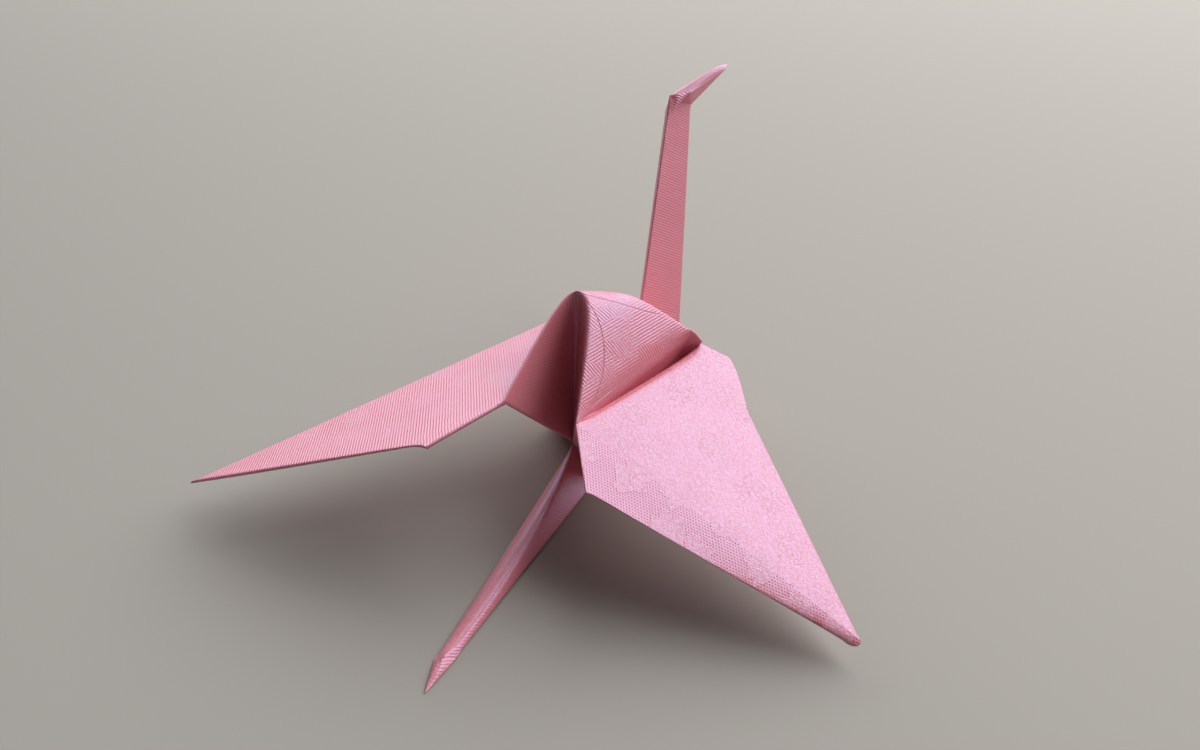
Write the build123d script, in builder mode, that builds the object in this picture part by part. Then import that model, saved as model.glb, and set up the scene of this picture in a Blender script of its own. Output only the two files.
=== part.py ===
from build123d import *
import os

# Origami crane, one square sheet folded into one piece. Millimetres, +Z up.
# The origin is on the table, straight below the top of the back. +X is the right wing, +Y the head.

# The sheet
paper_thickness = 0.3
fold_lap = 0.06
flap_opening = 0.8
tuck_gap = 1.5
tuck_side = 0.3
half_share = 0.5

# Top of the back
apex_height = 37.5

# Where the right wing leaves the back, rear and front
right_rear_out = 6.9
right_rear_back = 20.4
right_rear_height = 25.0
right_front_out = 21.1
right_front_ahead = 9.5
right_front_height = 25.0

# Where the left wing leaves the back, rear and front
left_rear_out = 5.9
left_rear_back = 21.5
left_rear_height = 27.0
left_front_out = 9.8
left_front_ahead = 12.9
left_front_height = 21.7

# Where the back's ridges bulge most
right_ridge_out = 9.0
right_ridge_ahead = 4.0
right_ridge_height = 35.9
right_rear_ridge_out = 3.8
right_rear_ridge_back = 5.5
right_rear_ridge_height = 36.0
left_rear_ridge_out = 3.1
left_rear_ridge_back = 4.5
left_rear_ridge_height = 35.0

# Right wing: its root meets the body's side a little below the back, then shoulders and tip
root_drop_share = 0.04
right_rear_shoulder_out = 12.2
right_rear_shoulder_back = 30.6
right_rear_shoulder_height = 20.2
right_front_shoulder_out = 27.6
right_front_shoulder_ahead = 9.6
right_front_shoulder_height = 21.6
right_tip_out = 58.4
right_tip_back = 33.8
right_tip_height = 5.0

# Left wing: rear shoulder and tip
left_shoulder_out = 14.0
left_shoulder_back = 34.1
left_shoulder_height = 25.0
left_tip_out = 59.6
left_tip_back = 40.5
left_tip_height = 9.0

# Feet of the body, one on each side of the open underside
foot_out = 8.0
foot_ahead = 6.0
foot_height = 0.3

# Tail: start and bowed middle of its spine, where its two lower edges start
tail_root_back = 4.0
tail_root_height = 5.4
tail_middle_out = 0.3
tail_middle_back = 30.0
tail_middle_height = 3.3
tail_right_out = 6.3
tail_right_back = 6.3
tail_left_out = 1.5
tail_left_ahead = 1.2
tail_edge_height = 0.4

# End of the tail: the spine and the edges stop at a bend, then the tip
tail_end_out = 3.2
tail_end_back = 55.0
tail_end_height = 1.5
tail_end_right_out = 1.6
tail_end_right_back = 53.8
tail_end_left_out = 4.6
tail_end_left_back = 55.5
tail_tip_out = 3.3
tail_tip_back = 60.9
tail_tip_height = 0.3

# Neck: start of its spine, its two open edges and the bend to the head
neck_root_out = 6.7
neck_root_ahead = 19.6
neck_root_height = 10.7
neck_right_out = 11.6
neck_right_ahead = 30.8
neck_right_height = 11.0
neck_left_out = 3.1
neck_left_ahead = 26.0
neck_left_height = 11.0
nape_out = 3.4
nape_ahead = 45.0
nape_height = 57.4
throat_right_out = 6.6
throat_right_ahead = 50.0
throat_right_height = 54.3
throat_left_out = 1.4
throat_left_ahead = 50.0
throat_left_height = 52.4

# Head: the crest where its two faces part, and the beak
crest_out = 6.3
crest_ahead = 49.0
crest_height = 57.2
beak_out = 12.2
beak_ahead = 57.0
beak_height = 60.9

# Corners of the folded sheet
apex = Vector(0, 0, apex_height)
right_rear = Vector(right_rear_out, -right_rear_back, right_rear_height)
right_front = Vector(right_front_out, right_front_ahead, right_front_height)
left_rear = Vector(-left_rear_out, -left_rear_back, left_rear_height)
left_front = Vector(-left_front_out, left_front_ahead, left_front_height)
right_ridge = Vector(right_ridge_out, right_ridge_ahead, right_ridge_height)
right_rear_ridge = Vector(right_rear_ridge_out, -right_rear_ridge_back, right_rear_ridge_height)
left_rear_ridge = Vector(-left_rear_ridge_out, -left_rear_ridge_back, left_rear_ridge_height)
right_rear_shoulder = Vector(right_rear_shoulder_out, -right_rear_shoulder_back, right_rear_shoulder_height)
right_front_shoulder = Vector(
    right_front_shoulder_out, right_front_shoulder_ahead, right_front_shoulder_height
)
right_tip = Vector(right_tip_out, -right_tip_back, right_tip_height)
left_shoulder = Vector(-left_shoulder_out, -left_shoulder_back, left_shoulder_height)
left_tip = Vector(-left_tip_out, -left_tip_back, left_tip_height)
right_foot = Vector(foot_out, foot_ahead, foot_height)
left_foot = Vector(-foot_out, foot_ahead, foot_height)
wing_root_front = right_front + (right_foot - right_front) * root_drop_share
tail_root = Vector(0, -tail_root_back, tail_root_height)
tail_middle = Vector(tail_middle_out, -tail_middle_back, tail_middle_height)
tail_right = Vector(tail_right_out, -tail_right_back, tail_edge_height)
tail_left = Vector(-tail_left_out, tail_left_ahead, tail_edge_height)
tail_end = Vector(-tail_end_out, -tail_end_back, tail_end_height)
tail_end_right = Vector(-tail_end_right_out, -tail_end_right_back, tail_edge_height)
tail_end_left = Vector(-tail_end_left_out, -tail_end_left_back, tail_edge_height)
tail_tip = Vector(-tail_tip_out, -tail_tip_back, tail_tip_height)
neck_root = Vector(neck_root_out, neck_root_ahead, neck_root_height)
neck_right = Vector(neck_right_out, neck_right_ahead, neck_right_height)
neck_left = Vector(neck_left_out, neck_left_ahead, neck_left_height)
nape = Vector(nape_out, nape_ahead, nape_height)
throat_right = Vector(throat_right_out, throat_right_ahead, throat_right_height)
throat_left = Vector(throat_left_out, throat_left_ahead, throat_left_height)
crest = Vector(crest_out, crest_ahead, crest_height)
beak = Vector(beak_out, beak_ahead, beak_height)

# The wings' folded-in flaps meet under the middle of each wing root, a little below it
drop = Vector(0, 0, -flap_opening)
right_flap_corner = (right_rear + wing_root_front) * half_share + drop
left_flap_corner = (left_rear + left_front) * half_share + drop

# The strips folded into the tail and the neck end a little inside their spines
into_tail_right = Vector(tuck_side, 0, -tuck_gap)
into_tail_left = Vector(-tuck_side, 0, -tuck_gap)
tail_tuck_right = tail_root + into_tail_right
tail_tuck_left = tail_root + into_tail_left
middle_tuck_right = tail_middle + into_tail_right
middle_tuck_left = tail_middle + into_tail_left
into_neck = ((throat_right + throat_left) * half_share - nape).normalized() * tuck_gap
across_neck = (throat_right - throat_left).normalized() * tuck_side
root_tuck_right = neck_root + into_neck + across_neck
root_tuck_left = neck_root + into_neck - across_neck
nape_tuck_right = nape + into_neck + across_neck
nape_tuck_left = nape + into_neck - across_neck


def panel(first, second, third):
    """One flat panel of the sheet, its mid plane through three corners, lapping its folds a little."""
    side_1 = (third - second).length
    side_2 = (first - third).length
    side_3 = (second - first).length
    around = side_1 + side_2 + side_3
    normal = (second - first).cross(third - first)
    centre = (first * side_1 + second * side_2 + third * side_3) * (1 / around)
    growth = 1 + fold_lap * around / normal.length
    plane = Plane(origin=centre, x_dir=second - first, z_dir=normal)
    corners = [centre + (corner - centre) * growth for corner in (first, second, third)]
    with BuildSketch(plane) as outline:
        with BuildLine():
            Polyline(*[plane.to_local_coords(corner) for corner in corners], close=True)
        make_face()
    extrude(outline.sketch, amount=paper_thickness * half_share, both=True)


with BuildPart() as crane:
    # Back, right side with its bulged ridges, then the left side
    panel(apex, right_rear_ridge, right_ridge)
    panel(right_rear_ridge, right_rear, right_ridge)
    panel(right_rear, right_front, right_ridge)
    panel(apex, left_rear_ridge, left_front)
    panel(left_rear_ridge, left_rear, left_front)

    # Rear of the body, folded inwards down the middle
    panel(apex, right_rear_ridge, tail_root)
    panel(right_rear_ridge, right_rear, tail_root)
    panel(right_rear, tail_right, tail_root)
    panel(apex, left_rear_ridge, tail_root)
    panel(left_rear_ridge, left_rear, tail_root)
    panel(left_rear, tail_left, tail_root)

    # Front of the body, folded inwards the same way
    panel(apex, right_ridge, neck_root)
    panel(right_ridge, right_front, neck_root)
    panel(right_front, neck_right, neck_root)
    panel(apex, left_front, neck_root)
    panel(left_front, neck_left, neck_root)

    # Sides of the body below the wings, down to the two feet
    panel(right_rear, tail_right, right_foot)
    panel(right_rear, right_foot, right_front)
    panel(right_front, right_foot, neck_right)
    panel(left_rear, tail_left, left_foot)
    panel(left_rear, left_foot, left_front)
    panel(left_front, left_foot, neck_left)

    # Tail, a folded strip with its closed spine on top and a bent tip
    panel(tail_root, tail_right, tail_middle)
    panel(tail_right, tail_end_right, tail_middle)
    panel(tail_middle, tail_end_right, tail_end)
    panel(tail_root, tail_left, tail_middle)
    panel(tail_left, tail_end_left, tail_middle)
    panel(tail_middle, tail_end_left, tail_end)
    panel(tail_end, tail_end_right, tail_tip)
    panel(tail_end, tail_end_left, tail_tip)
    panel(tail_tuck_right, tail_right, middle_tuck_right)
    panel(tail_right, tail_end_right, middle_tuck_right)
    panel(tail_tuck_left, tail_left, middle_tuck_left)
    panel(tail_left, tail_end_left, middle_tuck_left)

    # Neck, the same, with its closed spine to the rear
    panel(neck_root, nape, throat_right)
    panel(neck_root, throat_right, neck_right)
    panel(neck_root, nape, throat_left)
    panel(neck_root, throat_left, neck_left)
    panel(root_tuck_right, nape_tuck_right, throat_right)
    panel(root_tuck_right, throat_right, neck_right)
    panel(root_tuck_left, nape_tuck_left, throat_left)
    panel(root_tuck_left, throat_left, neck_left)

    # Head, its faces meeting along a crest
    panel(nape, crest, throat_right)
    panel(nape, crest, beak)
    panel(crest, throat_right, beak)
    panel(nape, beak, throat_left)

    # Right wing, with its rear band bent down, and the flaps folded in below it
    panel(right_rear, right_rear_shoulder, right_tip)
    panel(right_rear, right_tip, wing_root_front)
    panel(wing_root_front, right_tip, right_front_shoulder)
    panel(right_rear_shoulder, right_tip, right_flap_corner)
    panel(right_front_shoulder, right_tip, right_flap_corner)

    # Left wing, the same
    panel(left_rear, left_shoulder, left_tip)
    panel(left_rear, left_tip, left_front)
    panel(left_shoulder, left_tip, left_flap_corner)
    panel(left_front, left_tip, left_flap_corner)

crane.part.label = "paper_crane"

os.makedirs("parts", exist_ok=True)
export_step(crane.part, "parts/paper_crane.step")
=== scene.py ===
import math
from collections import namedtuple

import bmesh
import bpy
from mathutils import Matrix, Vector


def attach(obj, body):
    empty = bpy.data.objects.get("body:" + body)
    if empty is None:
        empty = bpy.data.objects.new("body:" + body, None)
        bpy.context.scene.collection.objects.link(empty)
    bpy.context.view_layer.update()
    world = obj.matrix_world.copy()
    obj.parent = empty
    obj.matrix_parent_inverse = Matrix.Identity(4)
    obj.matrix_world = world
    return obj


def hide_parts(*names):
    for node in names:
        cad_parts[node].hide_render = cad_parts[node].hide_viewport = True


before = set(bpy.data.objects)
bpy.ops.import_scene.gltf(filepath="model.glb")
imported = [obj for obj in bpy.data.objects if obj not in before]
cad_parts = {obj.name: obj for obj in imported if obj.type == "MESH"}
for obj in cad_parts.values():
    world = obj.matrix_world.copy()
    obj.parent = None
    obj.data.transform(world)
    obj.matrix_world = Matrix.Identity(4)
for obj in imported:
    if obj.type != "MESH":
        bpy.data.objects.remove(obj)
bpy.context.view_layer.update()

# A crane folded from one sheet of embossed paper. Lengths are in millimetres until a mesh is made.
MM = 0.001
MM_PER_UV = 100.0
paper_thickness = 0.22

# Camera: behind the crane, to its right and above.
turn = math.radians(19.0)
dip = math.radians(37.0)
ahead = Vector((-math.sin(turn) * math.cos(dip), math.cos(turn) * math.cos(dip), -math.sin(dip)))
side = Vector((math.cos(turn), math.sin(turn), 0.0))
up = side.cross(ahead)
eye = Vector((50.45, -134.53, 127.06))

# Corners of the folded sheet. Many are the part's own. The rest are moved a little,
# or added for bends that the part lacks.
corners = {
    # back and body, with a groove between the back and the right wing
    "apex": (0.0, 0.0, 37.5),
    "right_rear": (6.9, -20.4, 25.0),
    "right_brow": (19.0, 8.2, 28.1),
    "right_front": (21.0, 9.7, 24.9),
    "groove": (15.8, 8.1, 18.6),
    "left_rear": (-5.9, -21.5, 27.0),
    "left_front": (-9.8, 12.9, 21.7),
    "right_foot": (8.0, 6.0, 0.3),
    "left_foot": (-8.0, 6.0, 0.3),
    # tail, with a bent tip and the strips tucked into it
    "tail_root": (0.0, -4.0, 5.4),
    "tail_right": (6.3, -6.3, 0.4),
    "tail_left": (-1.5, 1.2, 0.4),
    "tail_end": (-3.2, -55.0, 1.5),
    "tail_end_right": (-1.6, -53.8, 0.4),
    "tail_end_left": (-4.6, -55.5, 0.4),
    "tail_tip": (-3.3, -60.9, 0.3),
    "tail_tuck_right": (0.3, -4.0, 3.9),
    "tail_tuck_left": (-0.3, -4.0, 3.9),
    "middle_tuck_right": (0.6, -30.0, 1.8),
    "middle_tuck_left": (0.0, -30.0, 1.8),
    # neck, with the strips tucked into it
    "neck_root": (5.0, 19.0, 10.7),
    "neck_right": (11.6, 30.8, 11.0),
    "neck_left": (3.1, 26.0, 11.0),
    "nape": (3.4, 45.0, 57.4),
    "throat_right": (6.6, 50.0, 54.3),
    "throat_left": (1.4, 50.0, 52.4),
    "root_tuck_right": (5.4, 20.2, 9.9),
    "root_tuck_left": (4.8, 20.2, 9.7),
    "nape_tuck_right": (3.8, 46.2, 56.6),
    "nape_tuck_left": (3.2, 46.2, 56.4),
    # head, with a blunt beak and a small hood over the nape
    "crest": (7.1, 47.0, 57.9),
    "crest_inner": (6.8, 47.15, 57.7),
    "beak": (12.18, 56.95, 60.83),
    "beak_low": (11.99, 55.59, 60.37),
    "hood_nape": (4.75, 44.9, 57.75),
    "hood_low": (4.6, 42.9, 55.2),
    "hood_crest": (6.9, 46.8, 58.1),
    # right wing, with a rounded front shoulder and a blunt tip; its root dips into the groove
    "wing_rear": (6.8, -20.4, 24.8),
    "wing_front": (20.6, 9.9, 24.2),
    "wing_groove": (16.0, 7.6, 18.7),
    "right_rear_shoulder": (12.55, -31.6, 21.0),
    "shoulder_top": (26.0, 10.18, 22.2),
    "shoulder_low": (31.85, 0.65, 19.0),
    "right_tip": (58.5, -33.2, 5.03),
    "right_tip_low": (56.54, -33.85, 4.39),
    "right_flap_rear": (13.2, -6.2, 23.6),
    "right_flap_front": (13.5, -5.0, 23.5),
    # left wing, with a thick rolled fold, a small tooth in its rear edge and a thin bevel to the tip
    "left_wing_rear": (-5.8, -21.4, 26.9),
    "left_wing_front": (-9.7, 12.8, 21.6),
    "left_shoulder": (-13.98, -34.38, 25.4),
    "left_tooth": (-16.2, -33.75, 24.5),
    "left_tip": (-59.5, -40.45, 9.05),
    "left_rear_low": (-5.7, -20.9, 26.1),
    "left_shoulder_low": (-13.8, -33.9, 24.6),
    "left_tooth_low": (-16.2, -33.5, 24.1),
    "left_tip_low": (-59.45, -40.4, 8.95),
    "left_flap_rear": (-7.8, -6.0, 23.0),
    "left_flap_front": (-7.9, -5.0, 22.9),
}
point = {name: Vector(at) for name, at in corners.items()}

# Curved edges: the place where each bulges most, and how tight the bend is there.
bends = {
    ("apex", "right_brow"): ((9.0, 4.0, 35.9), 3.0),
    ("right_brow", "right_front"): ((20.2, 9.2, 26.7), 1.0),
    ("apex", "right_rear"): ((3.8, -5.5, 36.0), 1.6),
    ("apex", "left_rear"): ((-3.1, -4.5, 35.0), 1.4),
    ("tail_root", "tail_end"): ((0.3, -30.0, 3.3), 1.0),
    ("nape", "beak"): ((9.77, 54.14, 60.67), 2.5),
    ("wing_rear", "wing_front"): ((18.97, 4.7, 24.07), 3.0),
    ("wing_rear", "right_tip"): ((33.05, -26.37, 14.95), 1.0),
    ("right_tip", "right_tip_low"): ((58.05, -34.0, 4.55), 1.0),
    ("shoulder_top", "shoulder_low"): ((28.47, 7.44, 20.98), 1.0),
    ("left_tooth_low", "left_tip_low"): ((-51.0, -39.05, 11.55), 1.0),
}
bends = {frozenset(pair): (Vector(at), tight) for pair, (at, tight) in bends.items()}

# Folds between two panels are rounded. How far the bend spreads to each side:
# at a sharp fold, and at the softer ones.
sharp_spread = 0.55
soft_folds = {
    ("wing_rear", "right_tip"): 3.5,
    ("wing_rear", "wing_front"): 1.6,
    ("wing_front", "shoulder_low"): 4.0,
    ("right_rear", "right_brow"): 3.0,
    ("left_wing_rear", "left_tooth"): 3.0,
    ("tail_root", "tail_end"): 1.6,
    ("tail_end", "tail_end_right"): 3.0,
    ("tail_end", "tail_end_left"): 3.0,
}
soft_folds = {frozenset(pair): spread for pair, spread in soft_folds.items()}

# Sharp folds look worn up to this distance. A place with no sharp fold near it counts as far away.
wear_reach = 0.4
far_from_folds = 99.0

# How the embossing lies on a panel: direction of its ribs in degrees from the camera's side direction,
# then the strengths of ribs, dotted lattice, flower blots and pressed-through creases.
Style = namedtuple("Style", "rib_angle ribbed latticed flowered creased")
styles = {
    "back": Style(38.0, 1.0, 0.0, 0.5, 1.0),
    "back_low": Style(38.0, 1.0, 0.0, 0.0, 0.0),
    # The strip's flower blots also lighten it with their painted sheen.
    "strip": Style(60.0, 0.0, 0.7, 0.5, 0.0),
    "rear": Style(60.0, 0.35, 0.8, 0.1, 0.0),
    "wing": Style(30.0, 0.1, 0.0, 0.3, 0.0),
    "band": Style(-50.0, 0.1, 1.0, 1.0, 0.0),
    "left_wing": Style(98.0, 1.3, 0.0, 0.35, 0.0),
    "neck": Style(-18.0, 1.3, 0.0, 0.0, 0.0),
    "hood": Style(-20.0, 1.8, 0.0, 0.0, 0.0),
    "head": Style(40.0, 0.3, 0.0, 0.0, 0.0),
    "tail": Style(8.0, 0.8, 0.0, 0.3, 0.0),
    "plain": Style(20.0, 0.6, 0.2, 0.6, 0.0),
}

# Runs of panels: corners in order, style, and how far the panel bulges. A run is welded along its folds.
body = [
    # back, with the wall that goes down into the groove
    (("apex", "right_rear", "right_brow"), "back", 0.5),
    (("right_rear", "groove", "right_brow"), "back_low", 0.0),
    (("right_brow", "groove", "right_front"), "back_low", 0.0),
    (("apex", "left_front", "left_rear"), "plain", 0.0),
    # rear, folded inwards
    (("apex", "tail_root", "right_rear"), "strip", 0.0),
    (("apex", "left_rear", "tail_root"), "rear", 0.0),
    (("right_rear", "tail_root", "tail_right"), "strip", 0.0),
    (("left_rear", "tail_left", "tail_root"), "rear", 0.0),
    # front, folded inwards
    (("apex", "right_brow", "neck_root"), "plain", 0.0),
    (("right_brow", "right_front", "neck_root"), "plain", 0.0),
    (("apex", "neck_root", "left_front"), "plain", 0.0),
    (("right_front", "neck_right", "neck_root"), "plain", 0.0),
    (("left_front", "neck_root", "neck_left"), "plain", 0.0),
    # sides down to the feet
    (("right_rear", "tail_right", "right_foot"), "plain", 0.0),
    (("right_rear", "right_foot", "groove"), "plain", 0.0),
    (("groove", "right_foot", "right_front"), "plain", 0.0),
    (("right_front", "right_foot", "neck_right"), "plain", 0.0),
    (("left_rear", "left_foot", "tail_left"), "plain", 0.0),
    (("left_rear", "left_front", "left_foot"), "plain", 0.0),
    (("left_front", "neck_left", "left_foot"), "plain", 0.0),
    # tail
    (("tail_root", "tail_end", "tail_end_right", "tail_right"), "tail", 0.3),
    (("tail_root", "tail_left", "tail_end_left", "tail_end"), "tail", 0.3),
    (("tail_end", "tail_tip", "tail_end_right"), "tail", 0.1),
    (("tail_end", "tail_end_left", "tail_tip"), "tail", 0.1),
    (("tail_right", "middle_tuck_right", "tail_tuck_right"), "plain", 0.0),
    (("tail_right", "tail_end_right", "middle_tuck_right"), "plain", 0.0),
    (("tail_left", "tail_tuck_left", "middle_tuck_left"), "plain", 0.0),
    (("tail_left", "middle_tuck_left", "tail_end_left"), "plain", 0.0),
    # neck and head
    (("neck_root", "neck_right", "throat_right", "nape"), "neck", 0.0),
    (("neck_root", "nape", "throat_left", "neck_left"), "neck", 0.0),
    (("nape", "throat_right", "crest"), "neck", 0.0),
    (("crest", "throat_right", "beak_low"), "head", 0.0),
    (("nape", "crest_inner", "beak_low", "beak"), "head", 0.35),
    (("nape", "beak", "throat_left"), "head", 0.0),
    (("neck_right", "root_tuck_right", "nape_tuck_right", "throat_right"), "plain", 0.0),
    (("neck_left", "throat_left", "nape_tuck_left", "root_tuck_left"), "plain", 0.0),
]
hood = [
    (("hood_nape", "hood_low", "hood_crest"), "hood", 0.25),
]
right_wing = [
    (("wing_rear", "right_tip", "shoulder_low", "wing_front"), "wing", 0.0),
    (("wing_front", "shoulder_low", "shoulder_top"), "wing", 0.0),
    (("wing_rear", "wing_front", "wing_groove"), "wing", 0.0),
    (("wing_rear", "right_rear_shoulder", "right_tip_low", "right_tip"), "band", 0.0),
    (("right_tip_low", "right_rear_shoulder", "right_flap_rear"), "plain", 0.0),
    (("right_tip", "right_flap_front", "shoulder_low"), "plain", 0.0),
]
left_wing = [
    (("left_wing_rear", "left_wing_front", "left_tip", "left_tooth"), "left_wing", 0.0),
    (("left_wing_rear", "left_tooth", "left_shoulder"), "left_wing", 0.0),
    (("left_wing_rear", "left_shoulder", "left_shoulder_low", "left_rear_low"), "plain", 0.0),
    (("left_shoulder", "left_tooth", "left_tooth_low", "left_shoulder_low"), "plain", 0.0),
    (("left_tooth", "left_tip", "left_tip_low", "left_tooth_low"), "plain", 0.0),
    (("left_rear_low", "left_shoulder_low", "left_flap_rear"), "plain", 0.0),
    (("left_shoulder_low", "left_tooth_low", "left_flap_rear"), "plain", 0.0),
    (("left_tooth_low", "left_tip_low", "left_flap_rear"), "plain", 0.0),
    (("left_tip", "left_wing_front", "left_flap_front"), "plain", 0.0),
]

# Each panel is a grid, with its lines closer together near the folds.
half = [0.0, 0.005, 0.011, 0.019, 0.03, 0.045, 0.065, 0.09, 0.125, 0.17, 0.225, 0.29, 0.36, 0.43]
steps = half + [0.5] + [1.0 - value for value in reversed(half)]
last = len(steps) - 1
grid_spots = [(i, j) for i in range(len(steps)) for j in range(len(steps))]

# From one panel to the next, the pattern on the flat sheet moves on by this much.
pattern_shift = Vector((31.7, 17.3))


# Curves and surfaces

def handle(first, second):
    """Control point and weight of the curve along one side of a panel."""
    ends = point[first] + point[second]
    pair = frozenset((first, second))
    if pair not in bends:
        return ends / 2, 1.0
    at, tight = bends[pair]
    return ((2 + 2 * tight) * at - ends) / (2 * tight), tight


def along(first, second, share):
    """A place on the curve from one corner to another."""
    control, tight = handle(first, second)
    w_first = (1 - share) ** 2
    w_control = 2 * tight * share * (1 - share)
    w_second = share ** 2
    place = point[first] * w_first + control * w_control + point[second] * w_second
    return place / (w_first + w_control + w_second)


def in_triangle(panel, s, t):
    """A place on a three-sided panel with curved sides, and how far up its hump it lies."""
    a, b, c = panel
    ab, ab_weight = handle(a, b)
    bc, bc_weight = handle(b, c)
    ca, ca_weight = handle(c, a)
    wa, wb, wc = 1 - s, s * (1 - t), s * t
    pull = (2 * ab_weight * wa * wb, 2 * bc_weight * wb * wc, 2 * ca_weight * wc * wa)
    place = point[a] * wa * wa + point[b] * wb * wb + point[c] * wc * wc
    place += ab * pull[0] + bc * pull[1] + ca * pull[2]
    total = wa * wa + wb * wb + wc * wc + sum(pull)
    return place / total, 27 * wa * wb * wc


def in_quad(panel, s, t):
    """A place on a four-sided panel spanned between its curved sides, and how far up its hump it lies."""
    a, b, c, d = panel
    place = along(a, b, s) * (1 - t) + along(d, c, s) * t
    place += along(a, d, t) * (1 - s)
    place += along(b, c, t) * s
    flat = (point[a] * (1 - s) + point[b] * s) * (1 - t)
    flat += (point[d] * (1 - s) + point[c] * s) * t
    return place - flat, 16 * s * (1 - s) * t * (1 - t)


def in_panel(panel, s, t):
    """A place on a panel of either kind, and how far up its hump it lies."""
    return in_triangle(panel, s, t) if len(panel) == 3 else in_quad(panel, s, t)


def panel_normal(panel):
    """Direction square to a panel. A four-sided one takes it from its diagonals."""
    at = [point[name] for name in panel]
    if len(panel) == 3:
        return (at[1] - at[0]).cross(at[2] - at[0]).normalized()
    return (at[2] - at[0]).cross(at[3] - at[1]).normalized()


def panel_sides(panel, i, j):
    """Each side of a panel: its ends, the grid spot's step along it, and whether the spot lies on it."""
    if len(panel) == 3:
        a, b, c = panel
        return ((a, b, i, j == 0), (a, c, i, j == last), (b, c, j, i == last))
    a, b, c, d = panel
    return ((a, b, i, j == 0), (d, c, i, j == last), (a, d, j, i == 0), (b, c, j, i == last))


def panel_cells(panel):
    """Grid spots round each face of a panel. The first row of a triangle narrows to its corner."""
    cells = []
    for i in range(last):
        for j in range(last):
            cell = [(i, j), (i + 1, j), (i + 1, j + 1), (i, j + 1)]
            narrow = len(panel) == 3 and i == 0
            cells.append(cell[:3] if narrow else cell)
    return cells


# Folds

def edge_key(first, second, step):
    """One name for a place on a shared edge, whichever panel asks."""
    if step == 0:
        return first
    if step == last:
        return second
    return (first, second, step) if first < second else (second, first, last - step)


def spot_key(panel, number, i, j):
    """One name for a grid spot, shared by the panels that meet there."""
    key = (number, i, j)
    if len(panel) == 3 and i == 0:
        key = panel[0]
    for first, second, step, here in panel_sides(panel, i, j):
        if here:
            key = edge_key(first, second, step)
    return key


def inward(panel, first, second):
    """Direction in the panel, square to one of its sides and away from it."""
    base = (point[second] - point[first]).normalized()
    rest = [point[name] - point[first] for name in panel if name not in (first, second)]
    arm = sum(rest, Vector((0.0, 0.0, 0.0))) / len(rest)
    return (arm - base * arm.dot(base)).normalized()


def fold_arms(panels):
    """For each edge in a run, the inward directions of the panels that meet there."""
    arms = {}
    for panel, _, _ in panels:
        for number, first in enumerate(panel):
            second = panel[(number + 1) % len(panel)]
            arms.setdefault(frozenset((first, second)), []).append(inward(panel, first, second))
    return arms


def fold_pull(first, second, share, place):
    """How far a place lies from a fold, and how far the rounding of that fold moves it."""
    run = point[second] - point[first]
    base = run.normalized()
    foot = along(first, second, share)
    arm = place - foot
    distance = (arm - base * arm.dot(base)).length
    spread = soft_folds.get(frozenset((first, second)), sharp_spread)
    # The rounding fades out towards the ends of a fold, unless the fold is shorter than its spread.
    taper = 1.0
    if spread <= run.length:
        end = min((foot - point[first]).length, (foot - point[second]).length)
        taper = min(1.0, end / (2 * spread))
    nearness = max(0.0, 1.0 - distance / spread) / 2
    return distance, nearness ** 2 * spread * taper


# The folded sheet

def pattern_ways(normal, rib_angle):
    """Directions in a panel along its ribs and across them."""
    x_way = (side - normal * side.dot(normal)).normalized()
    y_way = normal.cross(x_way)
    if y_way.dot(up) < 0:
        y_way = -y_way
    angle = math.radians(rib_angle)
    rib_way = x_way * math.cos(angle) + y_way * math.sin(angle)
    across = y_way * math.cos(angle) - x_way * math.sin(angle)
    return rib_way, across


class Sheet:
    """The mesh of the sheet, as run after run of panels is added to it."""

    def __init__(self):
        self.verts = []
        self.fold_distances = []
        self.faces = []
        self.flats = []
        self.looks = []
        self.panel_count = 0

    def add_run(self, panels):
        """Adds one run of panels, welded along its folds, and rounds the folds."""
        arms = fold_arms(panels)
        index_of, pulls = {}, {}
        for number, (panel, style, bulge) in enumerate(panels):
            grid, flat = self.add_places(number, panel, style, bulge, arms, index_of, pulls)
            for cell in panel_cells(panel):
                loop = [grid[spot] for spot in cell]
                if len(set(loop)) == len(loop):
                    self.faces.append(loop)
                    self.flats.append([flat[spot] for spot in cell])
                    self.looks.append(style)
        for at, pull in pulls.items():
            for pair, amount in pull.items():
                self.verts[at] = self.verts[at] + (arms[pair][0] + arms[pair][1]) * amount
        self.panel_count += len(panels)

    def add_places(self, number, panel, style, bulge, arms, index_of, pulls):
        """Adds the vertices of one panel. Returns their numbers and their places on the flat sheet."""
        normal = panel_normal(panel)
        rib_way, across = pattern_ways(normal, styles[style].rib_angle)
        shift = pattern_shift * (self.panel_count + number)
        grid, flat = {}, {}
        for i, j in grid_spots:
            place, hump = in_panel(panel, steps[i], steps[j])
            over = place - point[panel[0]]
            flat[i, j] = Vector((over.dot(rib_way), over.dot(across))) + shift
            place = place + normal * bulge * hump
            key = spot_key(panel, number, i, j)
            if key not in index_of:
                index_of[key] = len(self.verts)
                self.verts.append(place)
                self.fold_distances.append(far_from_folds)
            at = index_of[key]
            grid[i, j] = at
            pull = pulls.setdefault(at, {})
            for first, second, step, _ in panel_sides(panel, i, j):
                pair = frozenset((first, second))
                if len(arms[pair]) != 2:
                    continue
                distance, amount = fold_pull(first, second, steps[step], place)
                pull[pair] = max(pull.get(pair, 0.0), amount)
                if pair not in soft_folds:
                    self.fold_distances[at] = min(self.fold_distances[at], distance)
        return grid, flat


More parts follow.
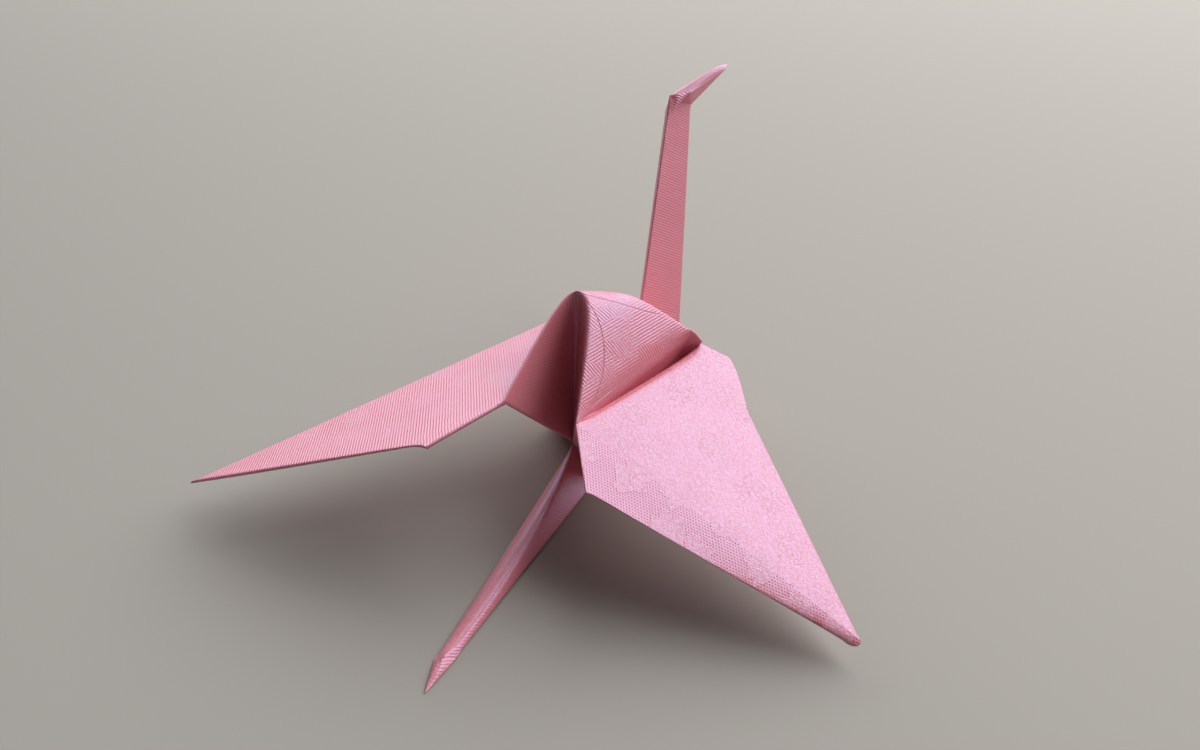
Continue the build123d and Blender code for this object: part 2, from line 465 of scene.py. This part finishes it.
def make_crane():
    """The crane as one object: mesh, flat coordinates, wear, strengths of embossing, paper thickness."""
    sheet = Sheet()
    for panels in (body, hood, right_wing, left_wing):
        sheet.add_run(panels)

    mesh = bpy.data.meshes.new("paper_crane_sheet")
    mesh.from_pydata([tuple(place * MM) for place in sheet.verts], [], sheet.faces)
    uv = mesh.uv_layers.new(name="sheet")
    flat_places = [flat for loop in sheet.flats for flat in loop]
    for number, flat in enumerate(flat_places):
        uv.data[number].uv = (flat.x / MM_PER_UV, flat.y / MM_PER_UV)
    wear = mesh.attributes.new("wear", "FLOAT", "POINT")
    for number, distance in enumerate(sheet.fold_distances):
        wear.data[number].value = max(0.0, 1.0 - distance / wear_reach)
    for name in ("ribbed", "latticed", "flowered", "creased"):
        layer = mesh.attributes.new(name, "FLOAT", "FACE")
        for number, look in enumerate(sheet.looks):
            layer.data[number].value = getattr(styles[look], name)

    work = bmesh.new()
    work.from_mesh(mesh)
    bmesh.ops.recalc_face_normals(work, faces=work.faces)
    work.to_mesh(mesh)
    work.free()
    mesh.polygons.foreach_set("use_smooth", [True] * len(mesh.polygons))
    mesh.update()

    piece = bpy.data.objects.new("paper_crane_sheet", mesh)
    bpy.context.scene.collection.objects.link(piece)
    thick = piece.modifiers.new("thickness", "SOLIDIFY")
    thick.thickness = paper_thickness * MM
    thick.offset = 0.0
    thick.use_even_offset = False
    return piece


# The paper

# Colour sockets of a Mix node.
MIX_UNDER, MIX_OVER, MIX_RESULT = 6, 7, 2

# Ribs: distance from one to the next, also where they cross the others, and how far they stray in radians.
# They cross in patches of the panels with more than a certain strength of flowers.
rib_pitch = 0.52
cross_rib_pitch = 0.54
cross_rib_angle = math.radians(-75.0)
rib_wobble = 1.4
patches_above = 0.4

# Dots: distance from one row to the next, and the directions of the two sets of rows in radians.
dot_pitch = 0.48
dot_angles = (0.5, -0.65)

# Flowers: how many to a millimetre, how far from an even grid, and how much they are turned.
flower_density = 0.115
flower_scatter = 0.8
flower_turn = 20.0

# Their petals: number, radius, how far they stand out from it, and how far the outline strays.
petal_count = 5.0
flower_radius = 2.5
petal_depth = 0.6
ragged_edge = 0.9

# How much of the ribs and dots a flower hides, and how strong the veins in it are.
flower_cover = 0.8
flower_veins = 1.4

# Creases on the back: centre on the flat sheet and radius. The upper one fades out along the ribs.
lower_crease = (-19.93, -2.1, 18.67)
upper_crease = (30.06, 21.5, 38.1)
upper_crease_fade = (9.0, 12.5)

# How steeply these lines fall off to both sides.
rim_steepness = 4.5
crease_steepness = 6.5
vein_steepness = 11.0

# How much each pattern stands out of the paper, or sinks into it.
relief = {
    "ribs": 0.78,
    "dots": -1.6,
    "rims": 0.45,
    "veins": 0.38,
    "crinkle": 0.85,
    "grain": 0.25,
    "creases": -1.5,
}
bump_strength = 0.6
bump_depth = 0.09

# Colours: the paper's own two tones, painted shade for the dents, the grooves between the ribs and the
# creases, painted sheen for the veins and the flower blots, the lighter pink of worn folds, and how strong
# these are.
deep_pink = (0.86, 0.235, 0.27, 1)
light_pink = (0.94, 0.285, 0.325, 1)
dent_painted_shade = (0.58, 0.36, 0.46, 1)
rib_groove_painted_shade = (0.70, 0.45, 0.50, 1)
crease_painted_shade = (0.62, 0.36, 0.42, 1)
vein_painted_sheen = (0.92, 0.55, 0.66, 1)
petal_painted_sheen = (0.92, 0.55, 0.68, 1)
worn_pink = (0.93, 0.60, 0.68, 1)
tint_strength = {"ribs": 0.22, "creases": 0.45, "veins": 0.22, "petals": 0.1, "wear": 0.15}

# Pearl gloss: roughness, what the crinkle adds to it, refraction and a blue tint.
smooth_roughness = 0.34
crinkle_roughness = 0.16
paper_ior = 1.75
gloss_tint = (0.36, 0.66, 1.0, 1)


def socket(node, name, value):
    """Sets the constant on a node's input."""
    node.inputs[name].default_value = value


class PaperNodes:
    """A material's nodes, with a short method for each kind. Sizes are millimetres on the flat sheet."""

    def __init__(self, tree):
        self.nodes = tree.nodes
        self.links = tree.links
        self.nodes.clear()
        coords = self.nodes.new("ShaderNodeUVMap")
        coords.uv_map = "sheet"
        self.flat = self.vector("SCALE", coords.outputs["UV"])
        socket(self.flat.node, "Scale", MM_PER_UV)
        self.u, self.v = self.split(self.flat)

    def vector(self, operation, *values):
        """A sum on vectors."""
        node = self.nodes.new("ShaderNodeVectorMath")
        node.operation = operation
        for slot, value in enumerate(values):
            self.links.new(value, node.inputs[slot])
        return node.outputs[0]

    def split(self, value):
        """The first two parts of a vector."""
        node = self.nodes.new("ShaderNodeSeparateXYZ")
        self.links.new(value, node.inputs[0])
        return node.outputs["X"], node.outputs["Y"]

    def math(self, operation, *values, clamp=False):
        """A sum on numbers and other nodes' outputs."""
        node = self.nodes.new("ShaderNodeMath")
        node.operation = operation
        node.use_clamp = clamp
        for slot, value in enumerate(values):
            if isinstance(value, (int, float)):
                node.inputs[slot].default_value = value
            else:
                self.links.new(value, node.inputs[slot])
        return node.outputs[0]

    def plus(self, first, second):
        return self.math("ADD", first, second)

    def minus(self, first, second, clamp=False):
        return self.math("SUBTRACT", first, second, clamp=clamp)

    def times(self, first, second):
        return self.math("MULTIPLY", first, second)

    def length(self, x, y):
        """Length of a vector with these two parts."""
        squares = self.plus(self.math("POWER", x, 2.0), self.math("POWER", y, 2.0))
        return self.math("POWER", squares, 0.5)

    def line(self, value, steepness):
        """One where the value is zero, falling off to nothing on both sides."""
        return self.minus(1.0, self.times(self.math("ABSOLUTE", value), steepness), clamp=True)

    def blend(self, share, first, second):
        """The first value, or the second where the share is one."""
        return self.plus(self.times(first, self.minus(1.0, share)), self.times(second, share))

    def ramp(self, value, low, high):
        """Smooth rise from 0 to 1 between two values."""
        node = self.nodes.new("ShaderNodeMapRange")
        node.interpolation_type = "SMOOTHSTEP"
        self.links.new(value, node.inputs["Value"])
        socket(node, "From Min", low)
        socket(node, "From Max", high)
        return node.outputs["Result"]

    def painted(self, name):
        """A strength stored on the mesh."""
        node = self.nodes.new("ShaderNodeAttribute")
        node.attribute_name = name
        return node.outputs["Fac"]

    def noise(self, scale, detail, roughness=0.5, distortion=0.0):
        """Soft random tone over the flat sheet."""
        node = self.nodes.new("ShaderNodeTexNoise")
        node.noise_dimensions = "2D"
        self.links.new(self.flat, node.inputs["Vector"])
        socket(node, "Scale", scale)
        socket(node, "Detail", detail)
        socket(node, "Roughness", roughness)
        socket(node, "Distortion", distortion)
        return node.outputs["Fac"]

    def stripes(self, angle, pitch, wobble=None):
        """Even waves from 0 to 1, at an angle to the sheet's own direction."""
        per_u = -math.sin(angle) * 2 * math.pi / pitch
        per_v = math.cos(angle) * 2 * math.pi / pitch
        phase = self.plus(self.times(self.u, per_u), self.times(self.v, per_v))
        if wobble is not None:
            phase = self.plus(phase, wobble)
        return self.math("MULTIPLY_ADD", self.math("SINE", phase), 0.5, 0.5)

    def tint(self, share, colour, under, how="MIX"):
        """A colour laid over another one, by a share."""
        node = self.nodes.new("ShaderNodeMix")
        node.data_type = "RGBA"
        node.blend_type = how
        self.links.new(share, node.inputs["Factor"])
        self.links.new(under, node.inputs[MIX_UNDER])
        node.inputs[MIX_OVER].default_value = colour
        return node.outputs[MIX_RESULT]


def rib_pattern(n):
    """Ribs that wobble a little. On flowered panels they run across in some patches."""
    wobble = n.times(n.noise(0.5, 2.0), rib_wobble)
    patch = n.ramp(n.noise(0.13, 1.0), 0.5, 0.53)
    patch = n.times(patch, n.math("GREATER_THAN", n.painted("flowered"), patches_above))
    straight = n.stripes(0.0, rib_pitch, wobble)
    crossing = n.stripes(cross_rib_angle, cross_rib_pitch, wobble)
    return n.blend(patch, straight, crossing)


def dot_pattern(n):
    """Rows of dents where two sets of stripes cross."""
    first, second = (n.stripes(angle, dot_pitch) for angle in dot_angles)
    return n.ramp(n.times(first, second), 0.35, 0.75)


def flower_pattern(n, broad):
    """Flower blots round scattered centres: the share inside a flower, and its rim."""
    cells = n.nodes.new("ShaderNodeTexVoronoi")
    cells.voronoi_dimensions = "2D"
    n.links.new(n.flat, cells.inputs["Vector"])
    socket(cells, "Scale", flower_density)
    socket(cells, "Randomness", flower_scatter)
    x, y = n.split(n.vector("SUBTRACT", n.flat, cells.outputs["Position"]))
    spin = n.plus(n.times(n.math("ARCTAN2", y, x), petal_count), n.times(broad, flower_turn))
    edge = n.math("MULTIPLY_ADD", n.math("SINE", spin), petal_depth, flower_radius)
    edge = n.plus(edge, n.times(n.noise(0.6, 2.0), ragged_edge))
    inside = n.minus(edge, n.length(x, y))
    strength = n.painted("flowered")
    petals = n.times(n.ramp(inside, -0.1, 0.25), strength)
    rims = n.times(n.line(inside, rim_steepness), strength)
    return petals, rims


def crease_pattern(n):
    """Two arcs on the back, where the edges of the layer below press through."""
    arcs = []
    for centre_u, centre_v, radius in (lower_crease, upper_crease):
        reach = n.length(n.minus(n.u, centre_u), n.minus(n.v, centre_v))
        arcs.append(n.line(n.minus(reach, radius), crease_steepness))
    lower, upper = arcs
    upper = n.times(upper, n.minus(1.0, n.ramp(n.u, *upper_crease_fade)))
    return n.times(n.math("MAXIMUM", lower, upper), n.painted("creased"))


def paper_material():
    """Pink pearl paper with fine ribs, a dotted lattice, flower blots and a crinkle over all."""
    mat = bpy.data.materials.new("pink_embossed_paper")
    mat.use_nodes = True
    n = PaperNodes(mat.node_tree)
    out = n.nodes.new("ShaderNodeOutputMaterial")
    shader = n.nodes.new("ShaderNodeBsdfPrincipled")
    n.links.new(shader.outputs["BSDF"], out.inputs["Surface"])

    # Flowers break through the ribs and dots. Veins fill the flowers and the panels with little of either.
    broad = n.noise(0.09, 2.0)
    crinkle = n.noise(1.7, 4.0, 0.6, 0.6)
    grain = n.noise(5.0, 2.0)
    petals, rims = flower_pattern(n, broad)
    creases = crease_pattern(n)
    clear = n.minus(1.0, n.times(petals, flower_cover))
    rib_strength = n.painted("ribbed")
    dot_strength = n.painted("latticed")
    ribs = n.times(n.times(rib_pattern(n), rib_strength), clear)
    dots = n.times(n.times(dot_pattern(n), dot_strength), clear)
    plain = n.minus(1.0, n.math("MAXIMUM", rib_strength, dot_strength), clamp=True)
    veins = n.line(n.minus(n.noise(1.5, 2.0, 0.5, 0.8), 0.5), vein_steepness)
    veins = n.times(veins, n.plus(plain, n.times(petals, flower_veins)))

    # Relief
    patterns = {
        "ribs": ribs,
        "dots": dots,
        "rims": rims,
        "veins": veins,
        "crinkle": crinkle,
        "grain": grain,
        "creases": creases,
    }
    height = None
    for name, pattern in patterns.items():
        layer = n.times(pattern, relief[name])
        height = layer if height is None else n.plus(height, layer)
    bump = n.nodes.new("ShaderNodeBump")
    socket(bump, "Strength", bump_strength)
    socket(bump, "Distance", bump_depth * MM)
    n.links.new(height, bump.inputs["Height"])
    n.links.new(bump.outputs["Normal"], shader.inputs["Normal"])

    # Colour
    tone = n.nodes.new("ShaderNodeMix")
    tone.data_type = "RGBA"
    n.links.new(broad, tone.inputs["Factor"])
    tone.inputs[MIX_UNDER].default_value = deep_pink
    tone.inputs[MIX_OVER].default_value = light_pink
    between_ribs = n.minus(rib_strength, ribs, clamp=True)
    # Painted shade: the dents of the dotted lattice are darkened.
    colour = n.tint(dots, dent_painted_shade, tone.outputs[MIX_RESULT], "MULTIPLY")
    # Painted shade: the grooves between the ribs are darkened.
    colour = n.tint(n.times(between_ribs, tint_strength["ribs"]), rib_groove_painted_shade, colour, "MULTIPLY")
    # Painted shade: the pressed-through creases on the back are darkened.
    colour = n.tint(n.times(creases, tint_strength["creases"]), crease_painted_shade, colour, "MULTIPLY")
    # Painted sheen: the raised veins are lightened.
    colour = n.tint(n.times(veins, tint_strength["veins"]), vein_painted_sheen, colour)
    # Painted sheen: the flower blots are lightened.
    colour = n.tint(n.times(petals, tint_strength["petals"]), petal_painted_sheen, colour)
    colour = n.tint(n.times(n.painted("wear"), tint_strength["wear"]), worn_pink, colour)
    n.links.new(colour, shader.inputs["Base Color"])

    # Gloss
    roughness = n.math("MULTIPLY_ADD", crinkle, crinkle_roughness, smooth_roughness)
    n.links.new(roughness, shader.inputs["Roughness"])
    socket(shader, "IOR", paper_ior)
    socket(shader, "Specular IOR Level", 1.0)
    socket(shader, "Specular Tint", gloss_tint)
    return mat


crane = make_crane()
crane.data.materials.append(paper_material())
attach(crane, "root")
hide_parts("paper_crane")


# The floor

def make_floor():
    """A pale square, 6 metres wide."""
    wide = 3.0
    mesh = bpy.data.meshes.new("floor")
    ring = [(-wide, -wide, 0), (wide, -wide, 0), (wide, wide, 0), (-wide, wide, 0)]
    mesh.from_pydata(ring, [], [(0, 1, 2, 3)])
    mat = bpy.data.materials.new("pale_floor")
    mat.use_nodes = True
    shader = mat.node_tree.nodes["Principled BSDF"]
    socket(shader, "Base Color", (0.39, 0.365, 0.33, 1))
    socket(shader, "Roughness", 0.9)
    socket(shader, "Specular IOR Level", 0.1)
    mesh.materials.append(mat)
    plane = bpy.data.objects.new("floor", mesh)
    bpy.context.scene.collection.objects.link(plane)
    return plane


floor = make_floor()


# The light

def area_light(name, place, aim, size, power, colour):
    """A rectangular light that faces a point. Lengths are in metres, power in watts."""
    data = bpy.data.lights.new(name, "AREA")
    data.shape = "RECTANGLE"
    data.size, data.size_y = size
    data.energy = power
    data.color = colour
    lamp = bpy.data.objects.new(name, data)
    lamp.location = place
    lamp.rotation_euler = (Vector(aim) - Vector(place)).to_track_quat("-Z", "Y").to_euler()
    bpy.context.scene.collection.objects.link(lamp)


def faint_sky():
    """A weak even light from all round."""
    world = bpy.data.worlds.new("studio")
    world.use_nodes = True
    background = world.node_tree.nodes["Background"]
    socket(background, "Color", (0.93, 0.95, 1.0, 1))
    socket(background, "Strength", 0.04)
    bpy.context.scene.world = world


# Two large windows ahead of the crane, a weak low light behind it, and one high above to its right.
area_light("window", (0.39, 0.58, 0.72), (0.0, 0.0, 0.02), (1.4, 0.9), 17.0, (0.97, 0.98, 1.0))
area_light("left_window", (-0.7, 0.8, 0.45), (0.0, 0.0, 0.02), (0.9, 0.7), 6.5, (0.95, 0.97, 1.0))
area_light("room", (0.55, -0.60, 0.13), (0.0, -0.02, 0.01), (0.6, 0.2), 0.12, (1.0, 0.97, 0.95))
area_light("ceiling", (0.45, 0.10, 0.85), (0.0, 0.0, 0.03), (0.5, 0.5), 0.9, (0.97, 0.97, 1.0))
faint_sky()


# The camera

def make_camera():
    """The camera at the eye point, looking ahead."""
    data = bpy.data.cameras.new("camera")
    data.sensor_fit = "HORIZONTAL"
    data.sensor_width = 36.0
    data.lens = 28.5
    data.clip_start = 0.005
    camera = bpy.data.objects.new("camera", data)
    basis = Matrix((side, up, -ahead)).transposed().to_4x4()
    camera.matrix_world = Matrix.Translation(eye * MM) @ basis
    bpy.context.scene.collection.objects.link(camera)
    return camera


bpy.context.scene.camera = make_camera()
bpy.context.scene.view_settings.view_transform = "Standard"
